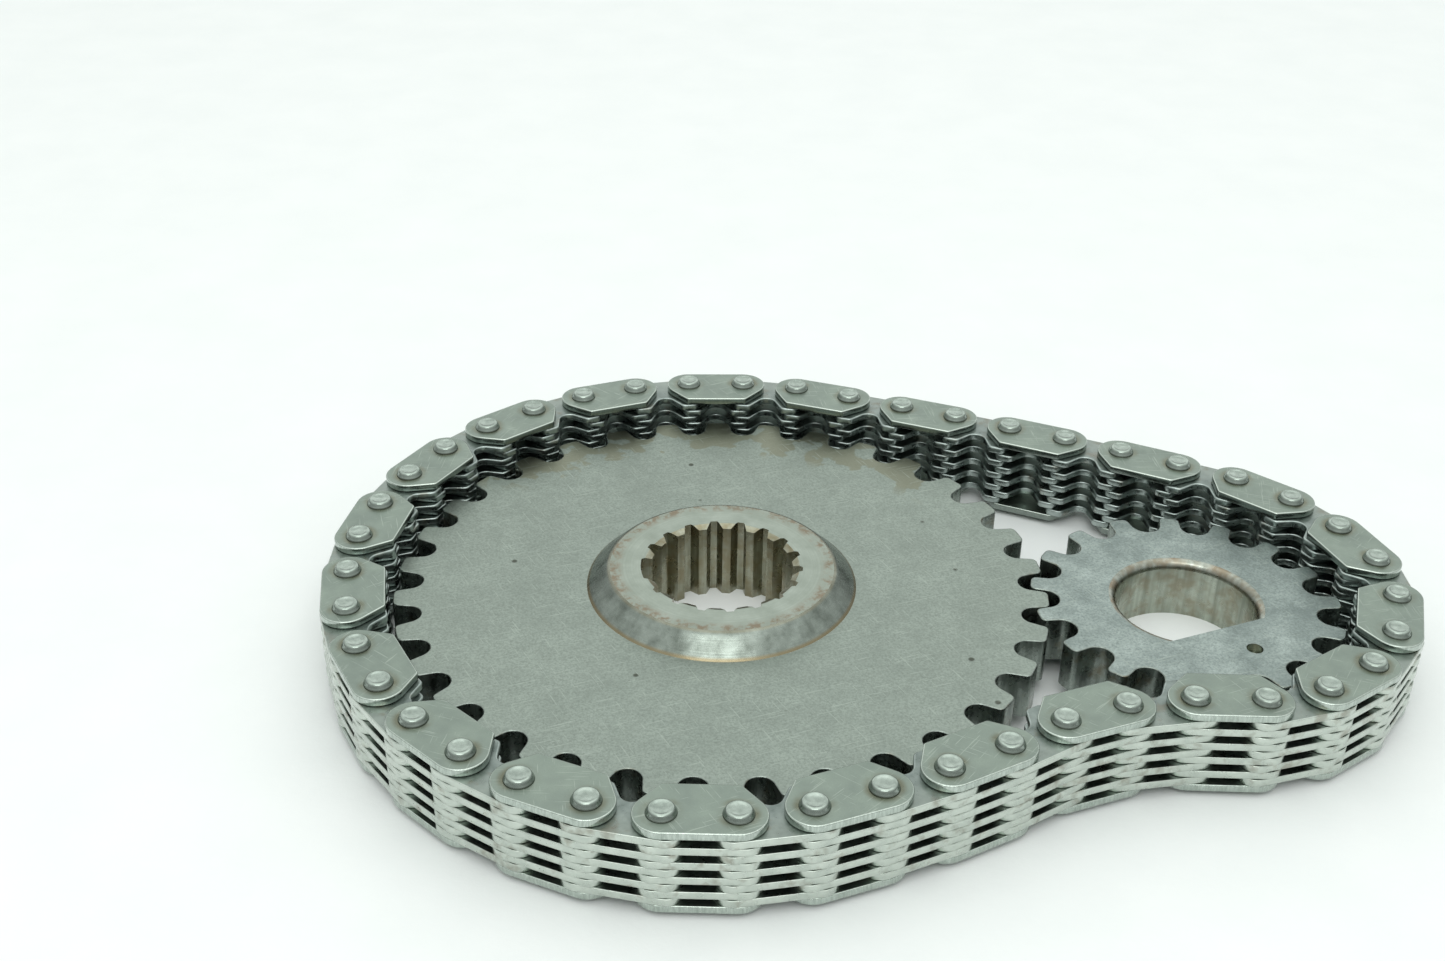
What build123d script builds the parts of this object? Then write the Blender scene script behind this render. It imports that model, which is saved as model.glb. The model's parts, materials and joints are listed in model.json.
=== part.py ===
"""Inverted-tooth (silent) timing chain with its two sprockets, laid out on a bench.

Frame: origin on the large sprocket's axis at the bench plane, +X towards the
small sprocket, +Z up. Lengths in mm, angles in degrees.
"""
from build123d import *
import math
import os

# ---- chain -------------------------------------------------------------
PITCH = 9.525                # 3/8 inch, pin to pin
ROWS = 44                    # guide rows and inner rows alternate
LEVELS = 11                  # plates in the full stack
PLATE_T = 1.15               # plate thickness
LEVEL = 1.20                 # stacking step, leaves an oil gap between plates
HEAD_T = 0.90                # riveted head height, top and bottom
HEAD_R = 2.05
HEAD_ROUND = 0.35            # rolled rim of the head
HEAD_GAP = 0.02
PIN_R = 1.55
HOLE_PRESS = 0.01            # radial clearance where a plate turns with its pins
HOLE_RUNNING = 0.05          # radial clearance where a plate swings on a pin
HOLE_CLOSING = 0.10          # worn holes at the pivots that close each flexing stretch
CLOSING_PINS = (6, 15, 23, 31, 40)   # counted clockwise from the first row's first pin

# plate outline, pins at y = 0, teeth towards -Y
END_R = 3.75                 # guide plate's rounded ends and back, centred on the pins
BACK_CORNER_R = 2.4          # toothed plate's squarer back corners
BACK_CORNER_X = 0.9          # their centres, outward of the pins
INNER_Y = 5.5                # pin line to the guide plate's inner edge
INNER_HALF = 5.4             # half length of that edge
GUIDE_CORNER_R = 0.7
TOE_Y = 5.6                  # pin line to the toe tips
TOE_X = 4.5                  # toe centre from mid-link
TOE_R = 1.1                  # outer round of a toe
TOE_INNER_R = 0.95           # its round on the arch side
CROTCH_R = 1.6               # arch between the two toes
CROTCH_Y = 2.4               # pin line to the top of the arch
ARCH_LEAN = 30               # flanks of the arch, from straight down

# ---- course of the chain ------------------------------------------------
START = (-55.32, 1.81)       # first pin of the first guide row
START_HEADING = 83.2
# stretches clockwise from the first row: (pins, bend per pin); None is solved to close the loop
COURSE = [
    (10, 9.87),              # far side of the large sprocket
    (7, None),               # rear run
    (3, 14.94),              # on to the small sprocket
    (6, 18.36),              # round the small sprocket
    (3, None),               # hollow of the front run
    (3, None),               # out of the hollow
    (4, 11.36),              # on to the large sprocket
    (8, 9.5),                # near side of the large sprocket
]

# ---- sprockets ------------------------------------------------------------
CENTRES = 69.6               # distance between the axes as laid out
RIM_Z0, FACE_Z = 2.3, 9.6    # toothed rim, clear of the lower guide plates
TOOTH_H = 4.1
TOOTH_TIP_ROUND = 0.9

BIG_TEETH = 34
BIG_ROOT_R = 45.0
BIG_GAP_R = 2.0
BIG_FLARE = 16               # flank angle to the gap's centre line
BIG_PHASE = 3.9              # direction of the first tooth gap
HUB_TOP_Z = 12.6
HUB_BASE_R = 20.3
HUB_TOP_R = 17.2
SPLINES = 18                 # places round the bore
BLIND_SPLINE = 188.9         # direction of the one place left without a spline
SPLINE_MAJOR_R = 12.2
SPLINE_MINOR_R = 10.75
SPLINE_ROOT = 3.4            # spline width at the major circle
SPLINE_TIP = 1.3             # spline width at the minor circle
SPLINE_CHAMFER = 0.45        # depth of the lead-in cut in the splines' upper ends
SPLINE_LEAD_R = 11.7         # where that lead-in meets the hub's top

SMALL_TEETH = 17
SMALL_ROOT_R = 19.0
SMALL_GAP_R = 2.2
SMALL_FLARE = 14
SMALL_PHASE = 180 - 2 * (BIG_PHASE - 180 / BIG_TEETH)   # a gap faces the large one's tooth
BOSS_R = 15.5                # plain boss under the small sprocket
D_BORE_R = 10.3
D_CHAMFER = 1.15
D_CHAMFER_DEPTH = 1.4
D_FLAT = 8.0                 # bore axis to the flat
D_FLAT_DIR = -65.0
MARK_R = 1.2                 # timing-mark dimple beside the flat
MARK_DEPTH = 1.6
MARK_AT = (14.0, -56.0)      # radius, direction
MARK_TIP_ANGLE = 118


def polar(r, deg):
    return r * math.cos(math.radians(deg)), r * math.sin(math.radians(deg))


def walk(solved):
    """Pins and headings round the loop; every link is exactly one pitch long."""
    solved = iter(solved)
    x, y, heading, links = *START, START_HEADING, []
    for pins, bend in COURSE:
        bend = next(solved) if bend is None else bend
        for _ in range(pins):
            links.append((x, y, heading))
            dx, dy = polar(PITCH, heading)
            x, y, heading = x + dx, y + dy, heading - bend
    return links, (x - START[0], y - START[1])


def close_loop():
    """Newton search for the solved bends: a full turn in all, and the last pin back home."""
    rear_pins, dip_pins, front_pins = (pins for pins, bend in COURSE if bend is None)
    given = sum(pins * bend for pins, bend in COURSE if bend is not None)

    def bends(dip, front):
        return (360 - given - dip * dip_pins - front * front_pins) / rear_pins, dip, front

    dip, front, step = -8.0, 4.0, 1e-4
    for _ in range(20):
        ex, ey = walk(bends(dip, front))[1]
        ax, ay = [(m - e) / step for m, e in zip(walk(bends(dip + step, front))[1], (ex, ey))]
        bx, by = [(m - e) / step for m, e in zip(walk(bends(dip, front + step))[1], (ex, ey))]
        det = ax * by - ay * bx
        dip += (ey * bx - ex * by) / det
        front += (ex * ay - ey * ax) / det
    return walk(bends(dip, front))[0]


def circles_hull(spots):
    """Convex outline round a set of (x, y, radius) circles."""
    with BuildSketch() as sketch:
        for x, y, r in spots:
            with Locations((x, y)):
                Circle(r)
        make_hull()
    return sketch.sketch


def guide_outline():
    x, y = INNER_HALF - GUIDE_CORNER_R, GUIDE_CORNER_R - INNER_Y
    ends = [(s * PITCH / 2, 0, END_R) for s in (-1, 1)]
    return circles_hull(ends + [(s * x, y, GUIDE_CORNER_R) for s in (-1, 1)])


def toothed_outline():
    x, y = PITCH / 2 + BACK_CORNER_X, END_R - BACK_CORNER_R
    corners = [(side * x, y, BACK_CORNER_R) for side in (-1, 1)]
    toes = [(side * TOE_X, TOE_R - TOE_Y, TOE_R) for side in (-1, 1)]
    lean, arch_y = math.radians(ARCH_LEAN), -CROTCH_Y - CROTCH_R
    # each flank leaves the arch at (tx, ty) and runs out to (foot, below), well past the toes
    tx, ty = CROTCH_R * math.cos(lean), arch_y + CROTCH_R * math.sin(lean)
    below = -2 * TOE_Y
    foot = tx + (ty - below) * math.tan(lean)
    opening = Polygon((-tx, ty), (-foot, below), (foot, below), (tx, ty), align=None)
    outline = circles_hull(corners + toes) - Pos(0, arch_y) * Circle(CROTCH_R) - opening
    inner = [v for v in outline.vertices() if abs(v.Y + TOE_Y) < 0.01 and abs(v.X) < TOE_X - 0.5]
    return fillet(inner, TOE_INNER_R)


def plate(outline, level, start_gap, end_gap):
    """One plate at a level of the stack, its first pin hole at x = -PITCH / 2."""
    for side, gap in ((-1, start_gap), (1, end_gap)):
        outline = outline - Pos(side * PITCH / 2, 0) * Circle(PIN_R + gap)
    return extrude(Pos(0, 0, HEAD_T + HEAD_GAP + level * LEVEL) * outline, PLATE_T)


def rivet_pin():
    stack = LEVELS * LEVEL - (LEVEL - PLATE_T) + 2 * HEAD_GAP
    head = fillet(Cylinder(HEAD_R, HEAD_T, align=(Align.CENTER, Align.CENTER, Align.MIN))
                  .edges().group_by(Axis.Z)[-1], HEAD_ROUND)
    shank = Cylinder(PIN_R, stack, align=(Align.CENTER, Align.CENTER, Align.MIN))
    body = Pos(0, 0, HEAD_T) * shank + Pos(0, 0, HEAD_T + stack) * head
    return body + Pos(0, 0, HEAD_T) * Rot(180, 0, 0) * head


def toothed_rim(teeth, root_r, gap_r, flare, phase):
    """Rim outline: round-bottomed gaps with straight flared flanks and rounded tips."""
    tip_r, fr = root_r + TOOTH_H, TOOTH_TIP_ROUND
    t, half = math.radians(flare), math.pi / teeth
    centre = root_r + gap_r
    # flank starts at the tangent point of the gap's round and rises along (cos t, sin t)
    fx, fy = centre - gap_r * math.sin(t), gap_r * math.cos(t)
    ox, oy = fx - fr * math.sin(t), fy + fr * math.cos(t)
    b = ox * math.cos(t) + oy * math.sin(t)
    s = -b + math.sqrt(b * b - (ox * ox + oy * oy - (tip_r - fr) ** 2))
    flank_top = (fx + s * math.cos(t), fy + s * math.sin(t))
    round_c = (ox + s * math.cos(t), oy + s * math.sin(t))
    tip_a = math.atan2(round_c[1], round_c[0])

    def rim_point(angle):
        return tip_r * math.cos(angle), tip_r * math.sin(angle)

    # the round's mid point lies half way between its flank and tip tangent directions
    turn = (t - math.pi / 2 + tip_a) / 2
    mid = (round_c[0] + fr * math.cos(turn), round_c[1] + fr * math.sin(turn))
    edges = [
        ThreePointArc((fx, -fy), (root_r, 0), (fx, fy)),
        ThreePointArc(rim_point(tip_a), rim_point(half), rim_point(2 * half - tip_a)),
    ]
    for side in (1, -1):
        top, tip = (flank_top[0], side * flank_top[1]), rim_point(side * tip_a)
        edges += [Line((fx, side * fy), top), ThreePointArc(top, (mid[0], side * mid[1]), tip)]
    return make_face([Rot(0, 0, phase + 360 / teeth * k) * e for k in range(teeth) for e in edges])


def large_sprocket():
    rim = toothed_rim(BIG_TEETH, BIG_ROOT_R, BIG_GAP_R, BIG_FLARE, BIG_PHASE)
    body = extrude(Pos(0, 0, RIM_Z0) * rim, FACE_Z - RIM_Z0)
    low = (Align.CENTER, Align.CENTER, Align.MIN)
    body += Cylinder(HUB_BASE_R, RIM_Z0, align=low)
    body += Pos(0, 0, FACE_Z) * Cone(HUB_BASE_R, HUB_TOP_R, HUB_TOP_Z - FACE_Z, align=low)
    bore = Cylinder(SPLINE_MAJOR_R, HUB_TOP_Z, align=low)
    spread = (SPLINE_ROOT - SPLINE_TIP) / 2 / (SPLINE_MAJOR_R - SPLINE_MINOR_R)
    inner, outer = SPLINE_TIP / 2 - spread, SPLINE_ROOT / 2 + spread
    tooth = Polygon((SPLINE_MINOR_R - 1, -inner), (SPLINE_MAJOR_R + 1, -outer),
                    (SPLINE_MAJOR_R + 1, outer), (SPLINE_MINOR_R - 1, inner), align=None)
    tooth = extrude(tooth, HUB_TOP_Z)
    bore -= [Rot(0, 0, BLIND_SPLINE + 360 / SPLINES * k) * tooth for k in range(1, SPLINES)]
    bore += Cylinder(SPLINE_MINOR_R, HUB_TOP_Z, align=low)
    bore += Pos(0, 0, HUB_TOP_Z - SPLINE_CHAMFER) * Cone(SPLINE_MINOR_R, SPLINE_LEAD_R,
                                                        SPLINE_CHAMFER, align=low)
    body -= bore
    return body


def small_sprocket():
    rim = toothed_rim(SMALL_TEETH, SMALL_ROOT_R, SMALL_GAP_R, SMALL_FLARE, SMALL_PHASE)
    low = (Align.CENTER, Align.CENTER, Align.MIN)
    body = extrude(Pos(0, 0, RIM_Z0) * rim, FACE_Z - RIM_Z0) + Cylinder(BOSS_R, RIM_Z0, align=low)
    bore = Cylinder(D_BORE_R, FACE_Z, align=low)
    bore += Pos(0, 0, FACE_Z - D_CHAMFER_DEPTH) * Cone(D_BORE_R, D_BORE_R + D_CHAMFER,
                                                      D_CHAMFER_DEPTH, align=low)
    beyond = Pos(D_FLAT + D_BORE_R, 0, FACE_Z / 2) * Box(2 * D_BORE_R, 4 * D_BORE_R, 2 * FACE_Z)
    body -= bore - Rot(0, 0, D_FLAT_DIR) * beyond
    tip_h = MARK_R / math.tan(math.radians(MARK_TIP_ANGLE / 2))
    dimple = Cylinder(MARK_R, MARK_DEPTH, align=low) + Rot(180, 0, 0) * Cone(MARK_R, 0, tip_h, align=low)
    body -= Pos(*polar(*MARK_AT), FACE_Z - MARK_DEPTH) * dimple
    return Pos(CENTRES, 0, 0) * body


def chain_rows():
    guide, toothed, pin = guide_outline(), toothed_outline(), rivet_pin()
    links = close_loop()
    for i, (x, y, heading) in enumerate(links):
        place = Pos(x, y, 0) * Rot(0, 0, heading) * Pos(PITCH / 2, 0, 0)
        if i % 2 == 0:
            plates = [plate(guide, k, HOLE_PRESS, HOLE_PRESS) for k in (0, LEVELS - 1)]
            plates += [plate(toothed, k, HOLE_PRESS, HOLE_PRESS) for k in range(2, LEVELS - 1, 2)]
            plates += [Pos(s * PITCH / 2, 0, 0) * pin for s in (-1, 1)]
            name = f"guide_link_{i // 2 + 1:02d}"
        else:
            gaps = [HOLE_CLOSING if pin in CLOSING_PINS else HOLE_RUNNING for pin in (i, i + 1)]
            plates = [plate(toothed, k, *gaps) for k in range(1, LEVELS, 2)]
            name = f"inner_link_{i // 2 + 1:02d}"
        yield name, Compound(children=[place * p for p in plates])


os.makedirs("parts", exist_ok=True)
export_step(large_sprocket(), "parts/large_sprocket.step")
export_step(small_sprocket(), "parts/small_sprocket.step")
for name, row in chain_rows():
    export_step(row, f"parts/{name}.step")
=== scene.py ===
"""Looks of an inverted-tooth timing chain with its two sprockets, lying on a bench.

Shapes are drawn in millimetres in each piece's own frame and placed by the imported
frame's pivots and boxes. A chain row's frame has its origin mid-link on the bench,
+X along the row and -Y towards the teeth.
"""
import json
import math

import bpy
from mathutils import Matrix, Vector
from mathutils.geometry import tessellate_polygon

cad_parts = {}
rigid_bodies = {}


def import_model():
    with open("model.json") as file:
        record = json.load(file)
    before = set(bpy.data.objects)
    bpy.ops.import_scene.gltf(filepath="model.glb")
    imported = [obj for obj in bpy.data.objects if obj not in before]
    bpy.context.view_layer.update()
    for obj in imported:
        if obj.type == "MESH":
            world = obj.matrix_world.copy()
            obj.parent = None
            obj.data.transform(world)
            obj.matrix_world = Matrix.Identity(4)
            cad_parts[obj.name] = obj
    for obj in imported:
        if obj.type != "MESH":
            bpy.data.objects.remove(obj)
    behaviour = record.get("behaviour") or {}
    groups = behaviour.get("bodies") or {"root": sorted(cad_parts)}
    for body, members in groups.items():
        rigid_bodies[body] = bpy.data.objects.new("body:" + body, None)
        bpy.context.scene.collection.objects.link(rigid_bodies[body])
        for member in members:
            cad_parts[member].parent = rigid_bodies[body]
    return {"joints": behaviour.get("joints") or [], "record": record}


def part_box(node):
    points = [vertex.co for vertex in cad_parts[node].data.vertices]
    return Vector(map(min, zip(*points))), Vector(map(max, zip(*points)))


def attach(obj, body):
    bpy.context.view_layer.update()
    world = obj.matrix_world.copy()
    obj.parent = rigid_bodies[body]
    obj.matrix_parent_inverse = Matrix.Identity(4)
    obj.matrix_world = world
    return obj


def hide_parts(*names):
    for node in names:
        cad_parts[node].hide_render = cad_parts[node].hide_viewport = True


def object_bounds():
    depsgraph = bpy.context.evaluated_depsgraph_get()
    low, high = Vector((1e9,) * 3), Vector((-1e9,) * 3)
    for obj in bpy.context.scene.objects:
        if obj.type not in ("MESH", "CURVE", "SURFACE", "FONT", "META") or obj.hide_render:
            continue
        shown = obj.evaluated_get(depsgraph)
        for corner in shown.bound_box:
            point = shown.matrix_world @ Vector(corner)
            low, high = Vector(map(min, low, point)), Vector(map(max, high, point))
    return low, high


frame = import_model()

CAD_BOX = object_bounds()
MM = 0.001

# ---- chain ------------------------------------------------------------------
PITCH = 9.525
PLATE_T, LEVEL = 1.15, 1.20
TOP_LEVEL = 10
HEAD_T, HEAD_R = 0.90, 2.05
HEAD_GAP = 0.02
PIN_R = 1.55
PIN_FIT, SWING_FIT, CLOSING_FIT = 0.01, 0.05, 0.10
END_R = 3.75
GUIDE_CORNER = (4.7, -4.8, 0.7)
BACK_CORNER = (PITCH / 2 + 0.9, 1.35, 2.4)
TOE = (4.5, -4.5, 1.1)
TOE_INNER_R = 0.95
TOE_TIP_Y = -5.6
ARCH_R, ARCH_Y, ARCH_LEAN = 1.6, -4.0, 30
GUIDE_EDGE = 0.18                           # rounding that blanking leaves on the edges
BACK_EDGE, TOE_EDGE = 0.13, 0.26            # toothed plates wear rounder towards the toes
WORN_FROM, WORN_TO = -1.5, -4.0             # where that wear starts and is full, in y
PIN_STEPS = 40                              # sides of pins and their holes

# ---- sprockets ----------------------------------------------------------------
RIM_Z0, FACE_Z = 2.3, 9.6
TOOTH_H, TIP_ROUND = 4.1, 0.9
RIM_EDGE = 0.18
BIG = dict(teeth=34, root=45.0, gap=2.0, flare=16, phase=3.9)
SMALL = dict(teeth=17, root=19.0, gap=2.2, flare=14, phase=180 - 2 * (3.9 - 180 / 34))
HUB_BASE_R, HUB_TOP_R, HUB_TOP_Z = 20.3, 17.2, 12.6
SPLINES, BLIND_SPLINE = 18, 188.9
SPLINE_MAJOR, SPLINE_MINOR = 12.2, 10.75
SPLINE_TIP, SPLINE_ROOT = 3.39, 7.63        # half widths in degrees at the two circles
SPLINE_CHAMFER = 0.45
SPLINE_LEAD = (11.7, 6.32)                  # radius and half width where the lead-in meets the top
SPLINE_APART = 0.5                          # degrees between neighbouring splines' outline points
HUB_EDGE, HUB_EDGE_MID = 0.25, 0.07         # rounding of the hubs' lower edges, and its middle point
BOSS_R = 15.5
D_BORE_R, D_CHAMFER, D_CHAMFER_DEPTH = 10.3, 1.15, 1.4
D_FLAT, D_FLAT_DIR = 8.0, -65.0
MARK_R, MARK_DEPTH, MARK_TIP = 1.2, 1.6, 0.72
MARK_AT = (14.0, -56.0)                     # radius and direction
MARK_FLOOR_R = 0.05
MARK_STEPS = 32

# ---- meshing ------------------------------------------------------------------
END_STEPS, CORNER_STEPS, BACK_STEPS = 60, 40, 48    # sides of the plates' round parts
HUB_STEPS, EYE_STEPS, BOSS_STEPS, BORE_STEPS = 160, 128, 96, 72
SHARP_ANGLE = 40                            # degrees past which shading shows a crease
MITRE_LIMIT = 0.4                           # keeps a moved outline's sharp corners short


# ---- outlines -------------------------------------------------------------------
def polar(r, deg):
    return r * math.cos(math.radians(deg)), r * math.sin(math.radians(deg))


def arc(centre, r, start, end, steps):
    """Points from start to end degrees round a centre, both ends included."""
    spots = (polar(r, start + (end - start) * k / steps) for k in range(steps + 1))
    return [(centre[0] + x, centre[1] + y) for x, y in spots]


def circle(centre, r, steps):
    return arc(centre, r, 0, 360, steps)[:-1]


def hull(points):
    """Convex outline, anticlockwise."""
    points = sorted(set(points))

    def half(spots):
        out = []
        for p in spots:
            while len(out) > 1 and ((out[-1][0] - out[-2][0]) * (p[1] - out[-2][1])
                                    <= (out[-1][1] - out[-2][1]) * (p[0] - out[-2][0])):
                out.pop()
            out.append(p)
        return out[:-1]

    return half(points) + half(reversed(points))


def guide_outline():
    """Round ends on the pins, and a straight inner edge between two small corners."""
    x, y, r = GUIDE_CORNER
    spots = [p for s in (-1, 1) for p in circle((s * PITCH / 2, 0), END_R, END_STEPS)]
    return hull(spots + [p for s in (-1, 1) for p in circle((s * x, y), r, CORNER_STEPS)])


def toothed_outline():
    """Square-shouldered back, two toes, and a round-topped arch between them."""
    x, y, r = TOE
    spots = [p for s in (-1, 1) for p in circle((s * x, y), r, CORNER_STEPS)]
    x, y, r = BACK_CORNER
    outer = hull(spots + [p for s in (-1, 1) for p in circle((s * x, y), r, BACK_STEPS)])
    start = min(range(len(outer)), key=lambda k: math.dist(outer[k], (TOE[0], TOE_TIP_Y)))
    outer = outer[start:] + outer[:start]
    lean = math.radians(ARCH_LEAN)
    foot = ARCH_R / math.cos(lean) + (ARCH_Y - TOE_TIP_Y) * math.tan(lean)
    x = foot + TOE_INNER_R * (1 - math.sin(lean)) / math.cos(lean)
    y = TOE_TIP_Y + TOE_INNER_R
    inner = arc((-x, y), TOE_INNER_R, -90, -ARCH_LEAN, 5)
    inner += arc((0, ARCH_Y), ARCH_R, 180 - ARCH_LEAN, ARCH_LEAN, 18)
    inner += arc((x, y), TOE_INNER_R, 180 + ARCH_LEAN, 270, 5)
    return outer + inner


def rim_outline(teeth, root, gap, flare, phase):
    """Round-bottomed gaps with straight flared flanks and rounded tips."""
    tip_r, t, half = root + TOOTH_H, math.radians(flare), math.pi / teeth
    centre = root + gap
    fx, fy = centre - gap * math.sin(t), gap * math.cos(t)
    ox, oy = fx - TIP_ROUND * math.sin(t), fy + TIP_ROUND * math.cos(t)
    b = ox * math.cos(t) + oy * math.sin(t)
    s = -b + math.sqrt(b * b - (ox * ox + oy * oy - (tip_r - TIP_ROUND) ** 2))
    cx, cy = ox + s * math.cos(t), oy + s * math.sin(t)
    tip = math.degrees(math.atan2(cy, cx))
    rising = arc((centre, 0), gap, 180, 90 + flare, 10) + arc((cx, cy), TIP_ROUND, flare - 90, tip, 6)
    land = arc((0, 0), tip_r, tip, math.degrees(half), 2)[1:]
    upper = rising + land
    lower = [(x, -y) for x, y in reversed(upper[1:])]
    one = lower[1:] + upper
    turned = []
    for k in range(teeth):
        c, s = polar(1, phase + 360 / teeth * k)
        turned += [(x * c - y * s, x * s + y * c) for x, y in one]
    return turned


def spline_outline(tip_r=SPLINE_MINOR, tip=SPLINE_TIP):
    """Splines standing in from the major circle, with one place left empty."""
    step, out = 360 / SPLINES, []
    for k in range(SPLINES):
        mid = BLIND_SPLINE + step * k
        r, half = (tip_r, tip) if k else (SPLINE_MAJOR, tip)
        out += arc((0, 0), SPLINE_MAJOR, mid - step / 2, mid - SPLINE_ROOT, 1)
        out += arc((0, 0), r, mid - half, mid + half, 4)
        out += arc((0, 0), SPLINE_MAJOR, mid + SPLINE_ROOT, mid + step / 2 - SPLINE_APART, 1)
    return out


def d_outline(r):
    """Bore outline with its flat, the flat's corners first and last."""
    corner = math.degrees(math.acos(D_FLAT / r))
    return arc((0, 0), r, D_FLAT_DIR + corner, D_FLAT_DIR + 360 - corner, BORE_STEPS)


def grown(outline, by):
    """The outline moved outwards by one amount, or by one for each point; an anticlockwise one."""
    out, count = [], len(outline)
    by = by if isinstance(by, list) else [by] * count
    for k, (x, y) in enumerate(outline):
        (ax, ay), (bx, by_) = outline[k - 1], outline[(k + 1) % count]
        u = Vector((y - ay, ax - x)).normalized()
        v = Vector((by_ - y, x - bx)).normalized()
        step = (u + v) / max(1 + u.dot(v), MITRE_LIMIT) * by[k]
        out.append((x + step.x, y + step.y))
    return out


# ---- meshes -----------------------------------------------------------------------
class Shape:
    """Vertices in mm and faces with a smooth flag and a material index."""

    def __init__(self):
        self.verts, self.faces, self.smooth, self.looks = [], [], [], []

    def loop(self, outline, z):
        first = len(self.verts)
        heights = z if isinstance(z, list) else [z] * len(outline)
        self.verts += [(x, y, h) for (x, y), h in zip(outline, heights)]
        return list(range(first, len(self.verts)))

    def band(self, low, high, smooth=True, look=0, flip=False):
        """Quads between two loops of the same length, facing out for anticlockwise ones."""
        for k in range(len(low)):
            n = (k + 1) % len(low)
            quad = [low[k], low[n], high[n], high[k]]
            self.faces.append(quad[::-1] if flip else quad)
            self.smooth.append(smooth)
            self.looks.append(look)

    def cap(self, loops, up=True, look=0):
        """Flat face between an outer loop and the holes in it."""
        spots = [i for loop in loops for i in loop]
        tris = tessellate_polygon([[Vector(self.verts[i]) for i in loop] for loop in loops])
        for tri in tris:
            a, b, c = (Vector(self.verts[spots[i]]) for i in tri)
            face = [spots[i] for i in tri]
            if ((b - a).cross(c - a).z > 0) != up:
                face.reverse()
            self.faces.append(face)
            self.smooth.append(False)
            self.looks.append(look)

    def stack(self, rings, flip=False, look=0):
        """Bands through a list of (outline, z) rings; the loops come back."""
        loops = [self.loop(outline, z) for outline, z in rings]
        for low, high in zip(loops, loops[1:]):
            self.band(low, high, flip=flip, look=look)
        return loops

    def mesh(self, name, materials):
        mesh = bpy.data.meshes.new(name)
        mesh.from_pydata([(x * MM, y * MM, z * MM) for x, y, z in self.verts], [], self.faces)
        mesh.set_sharp_from_angle(angle=math.radians(SHARP_ANGLE))
        mesh.polygons.foreach_set("use_smooth", self.smooth)
        mesh.polygons.foreach_set("material_index", self.looks)
        for material in materials:
            mesh.materials.append(material)
        mesh.update()
        return mesh


def rounded_rings(outline, z0, z1, edge, steps=3):
    """(outline, z) rings of a plate's side; its edges are rounded by edge(x, y)."""
    edges = [edge(x, y) for x, y in outline]
    rings = []
    for upper in (False, True):
        for k in range(steps + 1):
            a = math.pi / 2 * k / steps
            a = a if upper else math.pi / 2 - a
            shape = grown(outline, [-e * (1 - math.cos(a)) for e in edges])
            rise = [e * (1 - math.sin(a)) for e in edges]
            rings.append((shape, [z1 - r if upper else z0 + r for r in rise]))
    return rings


def guide_edge(x, y):
    return GUIDE_EDGE


def toothed_edge(x, y):
    worn = min(max((y - WORN_FROM) / (WORN_TO - WORN_FROM), 0), 1)
    return BACK_EDGE + (TOE_EDGE - BACK_EDGE) * worn


def rim_edge(x, y):
    return RIM_EDGE


def add_plate(shape, outline, level, edge, fits):
    """A plate of the stack with its two pin holes; fits are the holes' radial clearances."""
    z0 = HEAD_T + HEAD_GAP + level * LEVEL
    z1 = z0 + PLATE_T
    side = shape.stack(rounded_rings(outline, z0, z1, edge), look=1)
    holes = [circle((s * PITCH / 2, 0), PIN_R + fit, PIN_STEPS) for s, fit in zip((-1, 1), fits)]
    walls = [shape.stack([(hole, z0), (hole, z1)], flip=True) for hole in holes]
    shape.cap([side[0]] + [wall[0] for wall in walls], up=False)
    shape.cap([side[-1]] + [wall[1] for wall in walls])


def add_pin(shape, x, z_top):
    """Riveted pin: shank, and a head each end that flares to its base round a shallow dish."""
    head = [(HEAD_R, 0.0), (HEAD_R - 0.02, 0.1), (HEAD_R - 0.1, 0.24), (HEAD_R - 0.2, 0.42),
            (HEAD_R - 0.27, 0.6), (HEAD_R - 0.35, 0.75), (HEAD_R - 0.47, 0.86), (HEAD_R - 0.62, HEAD_T),
            (HEAD_R - 0.72, HEAD_T), (HEAD_R - 0.86, HEAD_T - 0.06), (HEAD_R - 1.1, HEAD_T - 0.12),
            (0.3, HEAD_T - 0.14)]
    base = z_top - HEAD_T
    half = [(PIN_R, z_top / 2), (PIN_R, base)] + [(r, base + z) for r, z in head]
    profile = [(r, z_top - z) for r, z in reversed(half[1:])] + half[1:]
    rings = [(circle((x, 0), r, PIN_STEPS), z) for r, z in profile]
    loops = shape.stack(rings)
    shape.cap([loops[0]], up=False)
    shape.cap([loops[-1]])


def revolved(shape, profile, steps, look=0):
    """Bands round the z axis through (radius, z) points, from low to high."""
    return shape.stack([(circle((0, 0), r, steps), z) for r, z in profile], look=look)


def lower_edge(r):
    """(radius, z) points of a rounded edge on the bench."""
    return [(r - HUB_EDGE, 0), (r - HUB_EDGE_MID, HUB_EDGE_MID), (r, HUB_EDGE)]


def piece(name, mesh, body, nodes, place=Matrix.Identity(4)):
    """An object that rides on a body and stands for CAD nodes."""
    obj = bpy.data.objects.new(name, mesh)
    bpy.context.scene.collection.objects.link(obj)
    obj.matrix_world = place
    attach(obj, body)
    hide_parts(*nodes)
    return obj


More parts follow.
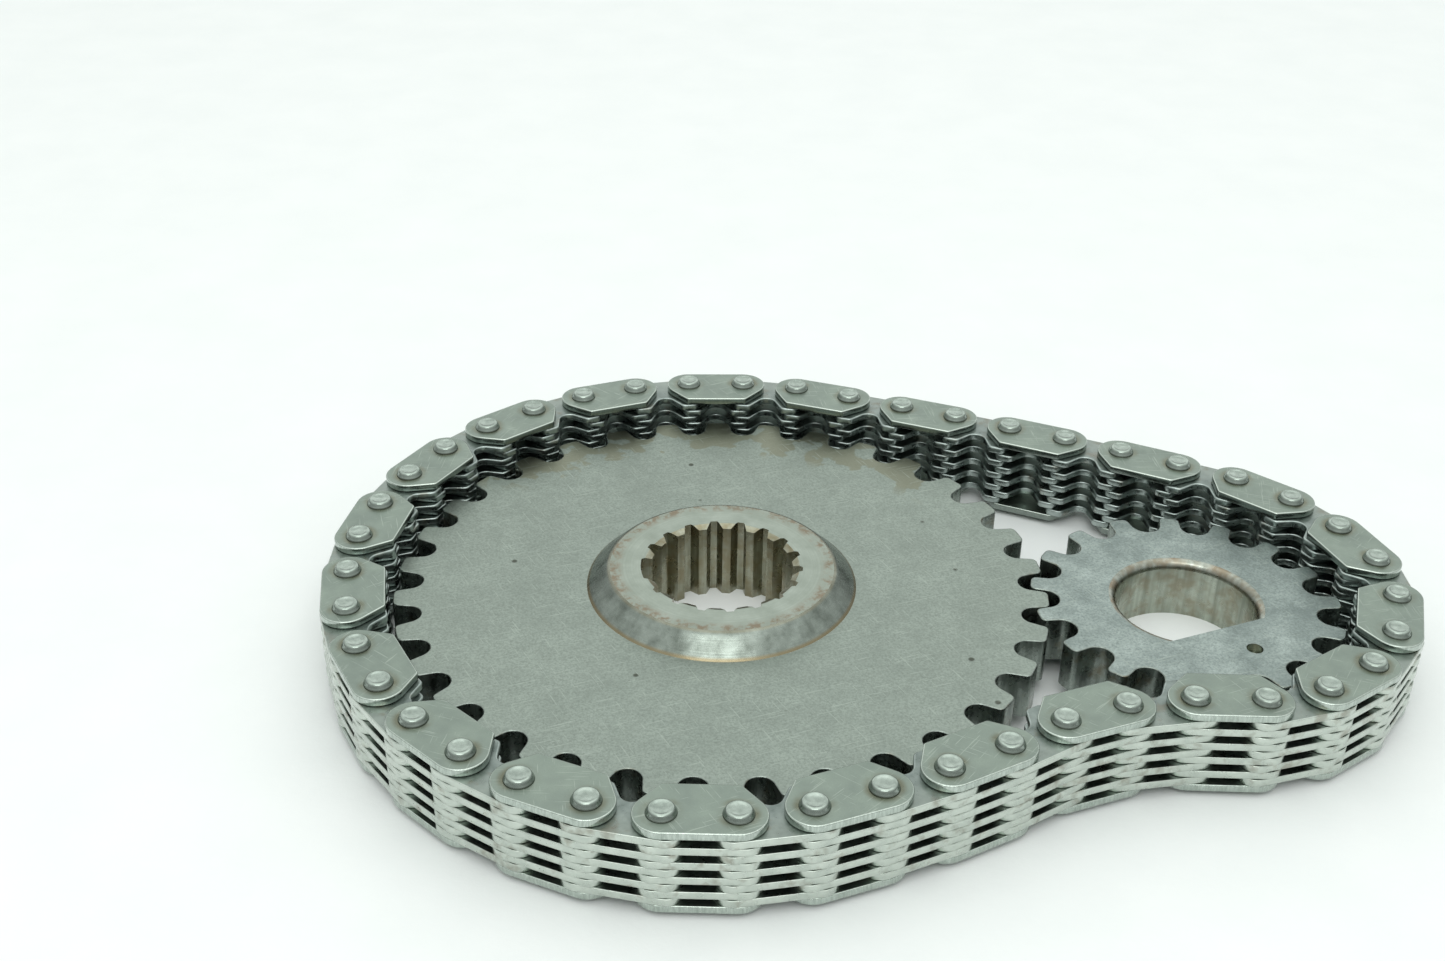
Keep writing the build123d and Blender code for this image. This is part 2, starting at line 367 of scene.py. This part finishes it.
# ---- materials --------------------------------------------------------------------
class Look:
    """Node material built from a few short calls, textured in the piece's own space."""

    def __init__(self, name, per_piece=True):
        self.material = bpy.data.materials.new(name)
        self.material.use_nodes = True
        self.tree = self.material.node_tree
        self.shader = self.tree.nodes["Principled BSDF"]
        self.space = self.node("ShaderNodeTexCoord").outputs["Object"]
        self.fixed = self.space
        if per_piece:
            chance = self.node("ShaderNodeObjectInfo").outputs["Random"]
            shift = self.node("ShaderNodeVectorMath", operation="SCALE")
            shift.inputs[0].default_value = (0.31, 0.17, 0.23)
            self.link(chance, shift.inputs["Scale"])
            moved = self.node("ShaderNodeVectorMath", operation="ADD")
            self.link(self.space, moved.inputs[0])
            self.link(shift.outputs[0], moved.inputs[1])
            self.space = moved.outputs[0]

    def node(self, kind, **settings):
        node = self.tree.nodes.new(kind)
        for key, value in settings.items():
            setattr(node, key, value)
        return node

    def link(self, source, target):
        self.tree.links.new(source, target)

    def put(self, value, socket):
        """Link an output to the socket, or set a plain value on it."""
        if hasattr(value, "links"):
            self.link(value, socket)
        else:
            socket.default_value = value

    def noise(self, size, detail=3.0, rough=0.55, stretch=None, twist=0.0):
        """Noise whose features are about size millimetres across, or drawn out stretch times."""
        space = self.space
        if stretch:
            mapping = self.node("ShaderNodeMapping", vector_type="TEXTURE")
            mapping.inputs["Scale"].default_value = stretch
            mapping.inputs["Rotation"].default_value = (0, 0, math.radians(twist))
            self.link(space, mapping.inputs["Vector"])
            space = mapping.outputs[0]
        node = self.node("ShaderNodeTexNoise")
        node.inputs["Scale"].default_value = 1 / (size * MM)
        node.inputs["Detail"].default_value = detail
        node.inputs["Roughness"].default_value = rough
        self.link(space, node.inputs["Vector"])
        return node.outputs["Fac"]

    def spots(self, size, radius):
        """1 inside scattered round spots, 0 elsewhere."""
        node = self.node("ShaderNodeTexVoronoi", feature="F1")
        node.inputs["Scale"].default_value = 1 / (size * MM)
        self.link(self.space, node.inputs["Vector"])
        return self.ramp(node.outputs["Distance"], [(radius * 0.6, 1), (radius, 0)])

    def ramp(self, value, stops):
        """Straight-line map; stops are (position, number or colour)."""
        node = self.node("ShaderNodeValToRGB")
        points = node.color_ramp.elements
        while len(points) < len(stops):
            points.new(0.5)
        for point, (position, colour) in zip(points, stops):
            point.position = position
            colour = colour if isinstance(colour, tuple) else (colour,) * 3
            point.color = (*colour, 1)
        self.link(value, node.inputs["Fac"])
        return node.outputs["Color"]

    def math(self, operation, a, b=0.0):
        node = self.node("ShaderNodeMath", operation=operation)
        self.put(a, node.inputs[0])
        self.put(b, node.inputs[1])
        return node.outputs[0]

    def mix(self, share, a, b):
        """Colour a where share is 0, b where it is 1."""
        node = self.node("ShaderNodeMix", data_type="RGBA")
        self.put(share, node.inputs["Factor"])
        for value, socket in ((a, node.inputs[6]), (b, node.inputs[7])):
            self.put((*value, 1) if isinstance(value, tuple) else value, socket)
        return node.outputs[2]

    def radius(self):
        """Distance from the piece's own z axis, in mm."""
        split = self.node("ShaderNodeSeparateXYZ")
        self.link(self.fixed, split.inputs[0])
        flat = self.node("ShaderNodeCombineXYZ")
        self.link(split.outputs["X"], flat.inputs["X"])
        self.link(split.outputs["Y"], flat.inputs["Y"])
        length = self.node("ShaderNodeVectorMath", operation="LENGTH")
        self.link(flat.outputs[0], length.inputs[0])
        return self.math("MULTIPLY", length.outputs["Value"], 1 / MM)

    def from_pin(self):
        """Distance in mm from the nearer of a chain row's two pins."""
        x = self.math("ABSOLUTE", self.coordinate("X"))
        x, y = self.math("SUBTRACT", x, PITCH / 2), self.coordinate("Y")
        square = self.math("ADD", self.math("MULTIPLY", x, x), self.math("MULTIPLY", y, y))
        return self.math("SQRT", square)

    def turned(self, pitch):
        """Fine rings round the z axis, as a lathe leaves them; pitch in mm."""
        node = self.node("ShaderNodeTexNoise", noise_dimensions="1D")
        node.inputs["Scale"].default_value = 1 / pitch
        node.inputs["Detail"].default_value = 3
        self.link(self.radius(), node.inputs["W"])
        return node.outputs["Fac"]

    def coordinate(self, axis):
        """Place along one of the piece's own axes, in mm."""
        split = self.node("ShaderNodeSeparateXYZ")
        self.link(self.fixed, split.inputs[0])
        return self.math("MULTIPLY", split.outputs[axis], 1 / MM)

    def upward(self):
        """1 where the surface is rounded off towards the sky, 0 on upright walls; it masks a painted
        highlight.
        """
        split = self.node("ShaderNodeSeparateXYZ")
        self.link(self.node("ShaderNodeNewGeometry").outputs["Normal"], split.inputs[0])
        return self.between(split.outputs["Z"], 0.15, 0.5)

    def between(self, value, low, high):
        """Smooth step from 0 at low to 1 at high."""
        node = self.node("ShaderNodeMapRange", interpolation_type="SMOOTHSTEP")
        self.link(value, node.inputs["Value"])
        node.inputs["From Min"].default_value = low
        node.inputs["From Max"].default_value = high
        return node.outputs["Result"]

    def bump(self, height, depth_mm):
        node = self.node("ShaderNodeBump")
        node.inputs["Strength"].default_value = 1.0
        node.inputs["Distance"].default_value = depth_mm * MM
        self.link(height, node.inputs["Height"])
        return node.outputs["Normal"]

    def finish(self, colour, roughness, normal, **fixed):
        """Feed the shader; fixed values are set on its own sockets."""
        self.link(colour, self.shader.inputs["Base Color"])
        self.put(roughness, self.shader.inputs["Roughness"])
        self.link(normal, self.shader.inputs["Normal"])
        for key, value in fixed.items():
            self.shader.inputs[key.replace("_", " ")].default_value = value
        return self.material


def scratched(look, size, amount):
    """Thin straight scratches in two directions; 1 in a scratch."""
    near = look.ramp(look.noise(size, 1, 0.5, (25, 1, 1), 24), [(0.67, 0.0), (0.7, amount)])
    far = look.ramp(look.noise(size, 1, 0.5, (18, 1, 1), -58), [(0.68, 0.0), (0.71, amount)])
    return look.math("MAXIMUM", near, far)


def guide_steel():
    """Satin blanked steel with faint scratches and an oily ring round some rivet heads."""
    oily_from, oily_to = HEAD_R + 0.05, HEAD_R + 1.15
    look = Look("guide_steel")
    grain = look.noise(0.22, 2, 0.7)
    colour = look.ramp(look.noise(4.0, 2), [(0.3, (0.255, 0.30, 0.265)), (0.7, (0.315, 0.37, 0.32))])
    colour = look.mix(look.ramp(grain, [(0.35, 0.0), (0.75, 0.3)]), colour, (0.22, 0.26, 0.225))
    scratches = scratched(look, 0.22, 0.5)
    colour = look.mix(scratches, colour, (0.47, 0.53, 0.47))
    ring = look.math("SUBTRACT", 1.0, look.between(look.from_pin(), oily_from, oily_to))
    patch = look.ramp(look.noise(5.0, 3), [(0.42, 0.1), (0.62, 0.8)])
    oil = look.math("MULTIPLY", ring, patch)
    colour = look.mix(oil, colour, (0.17, 0.165, 0.11))
    rough = look.mix(oil, look.ramp(look.noise(1.4, 3), [(0.3, 0.33), (0.75, 0.44)]), (0.22,) * 3)
    height = look.math("SUBTRACT", look.math("MULTIPLY", grain, 0.6),
                       look.math("MULTIPLY", scratches, 0.4))
    return look.finish(colour, rough, look.bump(height, 0.009), Metallic=1.0)


def edge_steel():
    """Blanked edges of the guide plates: brighter than their faces and drawn up and down, with painted shade
    on the inner walls and a painted highlight where the edges round off upwards.
    """
    look = Look("guide_edge_steel")
    drawn = look.noise(0.3, 2, 0.6, (1, 1, 5))
    colour = look.ramp(drawn, [(0.3, (0.36, 0.41, 0.37)), (0.72, (0.56, 0.62, 0.57))])
    # painted shade: the walls on the inner side, towards the teeth, are darkened
    inner = look.math("SUBTRACT", 1.0, look.between(look.coordinate("Y"), -4.5, 1.0))
    colour = look.mix(look.math("MULTIPLY", inner, 0.65), colour, (0.14, 0.165, 0.15))
    # painted highlight: edges rounded towards the sky are brightened, most on the inner walls
    painted_glint = look.math("MULTIPLY", look.upward(), look.math("MAXIMUM", inner, 0.3))
    colour = look.mix(look.math("MULTIPLY", painted_glint, 0.8), colour, (0.62, 0.68, 0.62))
    rough = look.ramp(look.noise(0.9, 2), [(0.3, 0.17), (0.75, 0.28)])
    return look.finish(colour, rough, look.bump(drawn, 0.004), Metallic=1.0)


def toothed_look(name, back_tones, toe_tones, rough):
    """Brighter along the back, darker towards the toes."""
    look = Look(name)
    share = look.between(look.coordinate("Y"), -1.5, 3.0)
    cloud = look.noise(1.8, 3)
    backs = look.ramp(cloud, [(0.3, back_tones[0]), (0.7, back_tones[1])])
    toes = look.ramp(cloud, [(0.3, toe_tones[0]), (0.7, toe_tones[1])])
    colour = look.mix(share, toes, backs)
    brown = look.ramp(look.noise(2.5, 3), [(0.56, 0.0), (0.7, 0.5)])
    colour = look.mix(brown, colour, (0.2, 0.17, 0.12))
    streak = look.noise(0.5, 2, 0.5, (1, 1, 6))
    gloss = look.ramp(look.noise(0.9, 2), [(0.3, rough[0]), (0.75, rough[1])])
    return look.finish(colour, gloss, look.bump(streak, 0.0015), Metallic=1.0, Coat_Weight=0.35,
                       Coat_Roughness=0.08)


def pin_steel():
    """Bright where the heads were rolled, with painted shade at their bases and on their flanks."""
    look = Look("pin_steel")
    grain = look.noise(0.2, 2, 0.7)
    colour = look.ramp(look.noise(1.0, 2), [(0.3, (0.33, 0.38, 0.34)), (0.7, (0.46, 0.52, 0.47))])
    out = look.from_pin()
    # painted shade: a dark line where each head meets the plate
    base = look.math("MULTIPLY", look.between(out, HEAD_R - 0.1, HEAD_R - 0.01), 0.8)
    colour = look.mix(base, colour, (0.1, 0.1, 0.07))
    # painted shade on the sloping flanks of the heads
    flank_shade = look.math("MULTIPLY", look.between(out, HEAD_R - 0.5, HEAD_R - 0.36), 0.4)
    colour = look.mix(flank_shade, colour, (0.16, 0.185, 0.165))
    rough = look.ramp(look.noise(0.8, 2), [(0.3, 0.15), (0.75, 0.27)])
    return look.finish(colour, rough, look.bump(grain, 0.0025), Metallic=1.0)


def face_steel(name, light, dark, stain_from, stain_to, stain):
    """Ground face: mottled, finely pitted, scratched, oil-stained at the far side near the rim."""
    look = Look(name, per_piece=False)
    colour = look.ramp(look.noise(7.0, 5, 0.62), [(0.34, dark), (0.66, light)])
    grain = look.noise(0.36, 3, 0.75)
    colour = look.mix(look.ramp(grain, [(0.4, 0.0), (0.74, 0.75)]), colour,
                      tuple(0.55 * c for c in dark))
    cloud = look.ramp(look.noise(2.2, 4, 0.65), [(0.35, 0.0), (0.75, 0.45)])
    colour = look.mix(cloud, colour, tuple(0.8 * c for c in dark))
    pits = look.spots(9.0, 0.06)
    colour = look.mix(pits, colour, (0.1, 0.11, 0.09))
    reach = look.math("MULTIPLY", look.between(look.radius(), stain_from, stain_to),
                      look.between(look.coordinate("Y"), 22, 37))
    wet = look.math("ADD", look.noise(6.0, 3), look.math("MULTIPLY", reach, 0.24))
    depth = look.math("MINIMUM", look.math("MULTIPLY", reach, 3.0), 0.75)
    wet = look.math("MULTIPLY", look.ramp(wet, [(0.62, 0.0), (0.65, 1.0)]), depth)
    colour = look.mix(wet, colour, stain)
    scratches = scratched(look, 0.3, 1.0)
    colour = look.mix(look.math("MULTIPLY", scratches, 0.35), colour, (0.5, 0.56, 0.5))
    rough = look.ramp(look.noise(1.6, 4, 0.6), [(0.3, 0.36), (0.75, 0.5)])
    rough = look.mix(look.math("MULTIPLY", wet, 0.5), rough, (0.22,) * 3)
    height = look.math("SUBTRACT", grain, look.math("MULTIPLY", scratches, 0.3))
    height = look.math("SUBTRACT", height, look.math("MULTIPLY", pits, 2.0))
    return look.finish(colour, rough, look.bump(height, 0.022), Metallic=1.0)


def tooth_steel():
    """Tooth walls polished by the chain, streaked with dark oil."""
    look = Look("tooth_steel", per_piece=False)
    streak = look.noise(0.8, 3, 0.6, (1, 1, 6))
    colour = look.ramp(streak, [(0.32, (0.19, 0.215, 0.195)), (0.72, (0.36, 0.405, 0.37))])
    brown = look.ramp(look.noise(3.0, 3), [(0.56, 0.0), (0.7, 0.6)])
    colour = look.mix(brown, colour, (0.15, 0.12, 0.07))
    rough = look.ramp(look.noise(1.2, 1), [(0.3, 0.22), (0.75, 0.38)])
    return look.finish(colour, rough, look.bump(streak, 0.002), Metallic=1.0)


def hub_top_steel():
    """Faced ring with turned lines, browned towards its outer edge."""
    look = Look("hub_top_steel", per_piece=False)
    rings = look.turned(0.28)
    colour = look.ramp(look.noise(3.0, 4), [(0.3, (0.325, 0.365, 0.315)), (0.7, (0.43, 0.475, 0.42))])
    colour = look.mix(look.ramp(rings, [(0.35, 0.0), (0.7, 0.35)]), colour, (0.30, 0.335, 0.285))
    rust = look.math("MULTIPLY", look.between(look.radius(), 14.6, 16.2),
                     look.ramp(look.noise(1.5, 4, 0.7), [(0.44, 0.05), (0.6, 0.8)]))
    colour = look.mix(rust, colour, (0.235, 0.17, 0.11))
    rough = look.ramp(look.noise(1.0, 3), [(0.3, 0.34), (0.75, 0.48)])
    return look.finish(colour, rough, look.bump(rings, 0.012), Metallic=1.0)


def hub_cone_steel():
    """Turned and polished, with a brown line where it meets the face."""
    look = Look("hub_cone_steel", per_piece=False)
    rings = look.turned(0.16)
    colour = look.ramp(look.noise(2.5, 4, 0.6), [(0.3, (0.14, 0.16, 0.14)), (0.7, (0.335, 0.375, 0.34))])
    colour = look.mix(look.ramp(rings, [(0.4, 0.0), (0.72, 0.3)]), colour, (0.24, 0.265, 0.23))
    radius = look.radius()
    base = look.between(radius, HUB_BASE_R - 0.55, HUB_BASE_R - 0.15)
    rim = look.math("SUBTRACT", 1.0, look.between(radius, HUB_TOP_R - 0.1, HUB_TOP_R + 0.25))
    browned = look.math("MAXIMUM", look.math("MULTIPLY", base, 0.85), look.math("MULTIPLY", rim, 0.35))
    colour = look.mix(browned, colour, (0.25, 0.2, 0.115))
    rough = look.ramp(look.noise(1.2, 3), [(0.3, 0.21), (0.75, 0.33)])
    return look.finish(colour, rough, look.bump(rings, 0.01), Metallic=1.0)


def bore_steel(name, dark, light, brown):
    """Broached or bored walls under old oil; streaks run up the bore."""
    look = Look(name, per_piece=False)
    streak = look.noise(0.9, 2, 0.5, (1, 1, 14))
    colour = look.ramp(streak, [(0.3, dark), (0.7, light)])
    colour = look.mix(look.ramp(look.noise(2.4, 2), [(0.42, 0.0), (0.66, 0.7)]), colour, brown)
    rough = look.ramp(look.noise(1.6, 1), [(0.3, 0.24), (0.75, 0.36)])
    return look.finish(colour, rough, look.bump(streak, 0.0025), Metallic=1.0)


# ---- chain pieces -------------------------------------------------------------------
def row_name(k):
    """Guide and inner rows alternate round the loop, guide_link_01 first."""
    return f"{'inner' if k % 2 else 'guide'}_link_{k // 2 + 1:02d}"


BODY_OF = {node: body for body, nodes in frame["record"]["behaviour"]["bodies"].items()
           for node in nodes}
ROWS = [row_name(k) for k in range(sum("_link_" in node for node in BODY_OF))]


def pin_places():
    """Pin k, where row k starts, from the frame's pivots, and the set of pins that have none.

    A pin without a pivot lies a pitch from both its neighbours.
    """
    count, pins = len(ROWS), {}
    bodies = [BODY_OF[row] for row in ROWS]
    for joint in frame["joints"]:
        if joint["child"] in bodies:
            row = bodies.index(joint["child"])
            follows_on = bodies[row - 1] == joint["parent"]
            pins[row if follows_on else (row + 1) % count] = Vector(joint["pos_m"][:2])
    open_pins = set(range(count)) - set(pins)
    for k in open_pins:
        before, after = pins[k - 1], pins[(k + 1) % count]
        half = (after - before) / 2
        outwards = Vector((-half.y, half.x)).normalized()
        pins[k] = before + half + outwards * math.sqrt((PITCH * MM) ** 2 - half.length_squared)
    return [pins[k] for k in range(count)], open_pins


def build_chain():
    """Every row's pieces: plates and pins on a guide row, toothed plates on an inner row."""
    faces, edges = guide_steel(), edge_steel()
    sides = toothed_look("toothed_side_steel", ((0.49, 0.54, 0.49), (0.62, 0.67, 0.61)),
                         ((0.27, 0.315, 0.30), (0.45, 0.51, 0.485)), (0.25, 0.38))
    flats = toothed_look("toothed_flat_steel", ((0.24, 0.275, 0.25), (0.33, 0.375, 0.34)),
                         ((0.16, 0.195, 0.18), (0.29, 0.335, 0.315)), (0.26, 0.4))
    guides, guide_toothed, pins = Shape(), Shape(), Shape()
    for level in (0, TOP_LEVEL):
        add_plate(guides, guide_outline(), level, guide_edge, (PIN_FIT, PIN_FIT))
    for level in range(2, TOP_LEVEL, 2):
        add_plate(guide_toothed, toothed_outline(), level, toothed_edge, (PIN_FIT, PIN_FIT))
    z_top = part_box("guide_link_01")[1].z / MM
    for side in (-1, 1):
        add_pin(pins, side * PITCH / 2, z_top)
    guide_mesh = guides.mesh("guide_plates", [faces, edges])
    guide_toothed_mesh = guide_toothed.mesh("guide_toothed_plates", [flats, sides])
    pin_mesh = pins.mesh("rivet_pins", [pin_steel()])

    def inner_mesh(fits):
        inner = Shape()
        for level in range(1, TOP_LEVEL, 2):
            add_plate(inner, toothed_outline(), level, toothed_edge, fits)
        return inner.mesh("inner_toothed_plates", [flats, sides])

    places, open_pins = pin_places()
    inner_meshes = {}
    for k, start in enumerate(places):
        end = places[(k + 1) % len(places)]
        along, middle = end - start, (start + end) / 2
        place = Matrix.Translation((middle.x, middle.y, 0)) @ Matrix.Rotation(
            math.atan2(along.y, along.x), 4, "Z")
        number = f"{k // 2 + 1:02d}"
        if k % 2:
            fits = tuple(CLOSING_FIT if pin in open_pins else SWING_FIT for pin in (k, k + 1))
            if fits not in inner_meshes:
                inner_meshes[fits] = inner_mesh(fits)
            piece(f"inner_toothed_plates_{number}", inner_meshes[fits], BODY_OF[ROWS[k]],
                  [ROWS[k]], place)
            continue
        for name, mesh in (("guide_plates", guide_mesh), ("guide_toothed_plates", guide_toothed_mesh),
                           ("rivet_pins", pin_mesh)):
            piece(f"{name}_{number}", mesh, BODY_OF[ROWS[k]], [ROWS[k]], place)


# ---- sprocket pieces ------------------------------------------------------------------
def build_large_sprocket():
    """Toothed rim and hub; the tooth steel comes back for the small sprocket."""
    face = face_steel("large_face_steel", (0.378, 0.43, 0.383), (0.322, 0.368, 0.327), 36, 46,
                      (0.235, 0.235, 0.165))
    rim = Shape()
    side = rim.stack(rounded_rings(rim_outline(**BIG), RIM_Z0, FACE_Z, rim_edge), look=1)
    eye = circle((0, 0), HUB_BASE_R, EYE_STEPS)
    wall = rim.stack([(eye, RIM_Z0), (eye, FACE_Z)], flip=True)
    rim.cap([side[0], wall[0]], up=False)
    rim.cap([side[-1], wall[1]])
    teeth = tooth_steel()
    piece("large_sprocket_rim", rim.mesh("large_sprocket_rim", [face, teeth]), "large_sprocket",
          ["large_sprocket"])

    hub = Shape()
    cone = [(HUB_BASE_R, FACE_Z), (HUB_BASE_R - 0.12, FACE_Z + 0.1), (HUB_TOP_R + 0.42, HUB_TOP_Z - 0.44)]
    upper_edge = [(HUB_TOP_R + 0.12, HUB_TOP_Z - 0.19), (HUB_TOP_R - 0.1, HUB_TOP_Z - 0.06),
                  (HUB_TOP_R - 0.35, HUB_TOP_Z)]
    profile = lower_edge(HUB_BASE_R) + cone + upper_edge
    outer = revolved(hub, profile, HUB_STEPS, look=1)
    inner = hub.stack([(spline_outline(), 0), (spline_outline(), HUB_TOP_Z - SPLINE_CHAMFER),
                       (spline_outline(*SPLINE_LEAD), HUB_TOP_Z)], flip=True, look=2)
    hub.cap([outer[0], inner[0]], up=False)
    hub.cap([outer[-1], inner[-1]])
    splines = bore_steel("spline_steel", (0.25, 0.245, 0.175), (0.42, 0.425, 0.345), (0.24, 0.2, 0.12))
    piece("large_sprocket_hub", hub.mesh("large_sprocket_hub", [hub_top_steel(), hub_cone_steel(), splines]),
          "large_sprocket", ["large_sprocket"])
    return teeth


def build_small_sprocket(teeth):
    """Rim, boss, D bore with its rounded mouth, and the drilled timing mark."""
    low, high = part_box("small_sprocket")
    axis = Matrix.Translation(((low.x + high.x) / 2, (low.y + high.y) / 2, 0))
    face = face_steel("small_face_steel", (0.50, 0.57, 0.54), (0.27, 0.32, 0.305), 10, 13,
                      (0.30, 0.335, 0.31))
    wall = bore_steel("d_bore_steel", (0.29, 0.315, 0.265), (0.46, 0.50, 0.43), (0.27, 0.24, 0.17))
    lead_in = bore_steel("bore_chamfer_steel", (0.26, 0.27, 0.23), (0.46, 0.49, 0.44), (0.27, 0.2, 0.13))
    body = Shape()
    side = body.stack(rounded_rings(rim_outline(**SMALL), RIM_Z0, FACE_Z, rim_edge), look=1)
    boss = revolved(body, lower_edge(BOSS_R) + [(BOSS_R, RIM_Z0)], BOSS_STEPS)
    bore_z = FACE_Z - D_CHAMFER_DEPTH
    bore = body.stack([(d_outline(D_BORE_R), 0), (d_outline(D_BORE_R), bore_z)], flip=True, look=2)
    turns = [math.radians(a) for a in (0, 12, 28, 46, 62, 76, 90)]      # round the mouth's lip
    mouth = body.stack([(d_outline(D_BORE_R + D_CHAMFER * (1 - math.cos(a))),
                         bore_z + D_CHAMFER_DEPTH * math.sin(a)) for a in turns], flip=True, look=3)
    at = polar(*MARK_AT)
    mark = [body.loop(circle(at, MARK_R, MARK_STEPS), z) for z in (FACE_Z - MARK_DEPTH, FACE_Z)]
    body.band(*mark, flip=True, look=2)
    floor = body.loop(circle(at, MARK_FLOOR_R, MARK_STEPS), FACE_Z - MARK_DEPTH - MARK_TIP)
    body.band(floor, mark[0], flip=True, look=2)
    body.cap([floor], look=2)
    body.cap([side[0], boss[-1]], up=False)
    body.cap([boss[0], bore[0]], up=False)
    body.cap([side[-1], mouth[-1], mark[1]])
    piece("small_sprocket_body", body.mesh("small_sprocket_body", [face, teeth, wall, lead_in]),
          "small_sprocket", ["small_sprocket"], axis)


# ---- stage ------------------------------------------------------------------------------
BENCH_HALF = 3.0                            # metres
BENCH_SHADE_RADII = (500, 1200)                    # painted shade: the paper darkens past these radii, in mm, for a dim surround seen in the metal


def build_stage():
    """A bench of pale paper, with painted shade far out."""
    half, z = BENCH_HALF, CAD_BOX[0].z
    floor = bpy.data.meshes.new("bench")
    floor.from_pydata([(-half, -half, z), (half, -half, z), (half, half, z), (-half, half, z)], [],
                      [(0, 1, 2, 3)])
    look = Look("bench_paper", per_piece=False)
    colour = look.ramp(look.noise(18.0, 4), [(0.3, (0.84, 0.855, 0.85)), (0.7, (0.87, 0.88, 0.875))])
    # painted shade far from the middle
    colour = look.mix(look.between(look.radius(), *BENCH_SHADE_RADII), colour, (0.33, 0.35, 0.34))
    height = look.noise(1.6, 4, 0.6)
    floor.materials.append(look.finish(colour, 0.8, look.bump(height, 0.05)))
    bench = bpy.data.objects.new("bench", floor)
    bpy.context.scene.collection.objects.link(bench)


# light: the sky's tint and its strength at the horizon and overhead, then the softboxes,
# each with its place, what it points at, its size and its power
SKY_TINT = (0.95, 1.0, 0.975)
SKY_LOW, SKY_HIGH = 0.38, 1.22
SOFTBOX_TINT = (0.97, 1.0, 0.985)
SOFTBOXES = {
    "overhead_softbox": ((0.05, 0.0, 0.75), (0.03, 0, 0), (0.9, 0.7), 0.8),
    "front_softbox": ((0.0, -0.5, 0.62), (0.01, 0, 0), (0.55, 0.25), 1.2),
    "back_softbox": ((0.0, 1.2, 0.6), (0.0, 0, 0), (1.8, 0.5), 1.1),
}


def add_softbox(name, at, towards, size, power):
    light = bpy.data.lights.new(name, "AREA")
    light.shape, light.size, light.size_y = "RECTANGLE", *size
    light.energy, light.color = power, SOFTBOX_TINT
    obj = bpy.data.objects.new(name, light)
    obj.location = at
    obj.rotation_euler = (Vector(towards) - Vector(at)).to_track_quat("-Z", "Y").to_euler()
    bpy.context.scene.collection.objects.link(obj)


def build_light():
    """Sky that brightens upwards, and the softboxes."""
    world = bpy.data.worlds.new("studio")
    bpy.context.scene.world = world
    world.use_nodes = True
    nodes, links = world.node_tree.nodes, world.node_tree.links
    background = nodes["Background"]
    background.inputs["Color"].default_value = (*SKY_TINT, 1)
    way = nodes.new("ShaderNodeSeparateXYZ")
    links.new(nodes.new("ShaderNodeTexCoord").outputs["Generated"], way.inputs[0])
    height = nodes.new("ShaderNodeMapRange")
    links.new(way.outputs["Z"], height.inputs["Value"])
    height.inputs["To Min"].default_value, height.inputs["To Max"].default_value = SKY_LOW, SKY_HIGH
    links.new(height.outputs["Result"], background.inputs["Strength"])
    for name, settings in SOFTBOXES.items():
        add_softbox(name, *settings)


# camera: what it looks at, how far away, and from where
CAMERA_TARGET = Vector((-0.0022, 0.0454, 0))
CAMERA_DISTANCE = 0.3114
CAMERA_AZIMUTH, CAMERA_ELEVATION, CAMERA_ROLL = 2.66, 31.06, 0.85
CAMERA_LENS = 44.08


def build_camera():
    azimuth, elevation, roll = (math.radians(a) for a in (CAMERA_AZIMUTH, CAMERA_ELEVATION, CAMERA_ROLL))
    back = Vector((math.cos(elevation) * math.sin(azimuth), -math.cos(elevation) * math.cos(azimuth),
                   math.sin(elevation)))
    right = Vector((math.cos(azimuth), math.sin(azimuth), 0))
    up = back.cross(right)
    across, upright = (math.cos(roll) * right + math.sin(roll) * up,
                       math.cos(roll) * up - math.sin(roll) * right)
    data = bpy.data.cameras.new("camera")
    data.lens = CAMERA_LENS
    data.clip_start, data.clip_end = 0.01, 20
    camera = bpy.data.objects.new("camera", data)
    turned = Matrix((across, upright, back)).transposed().to_4x4()
    camera.matrix_world = Matrix.Translation(CAMERA_TARGET + back * CAMERA_DISTANCE) @ turned
    bpy.context.scene.collection.objects.link(camera)
    bpy.context.scene.camera = camera


build_chain()
build_small_sprocket(build_large_sprocket())
build_stage()
build_light()
build_camera()
bpy.context.scene.view_settings.view_transform = "Standard"
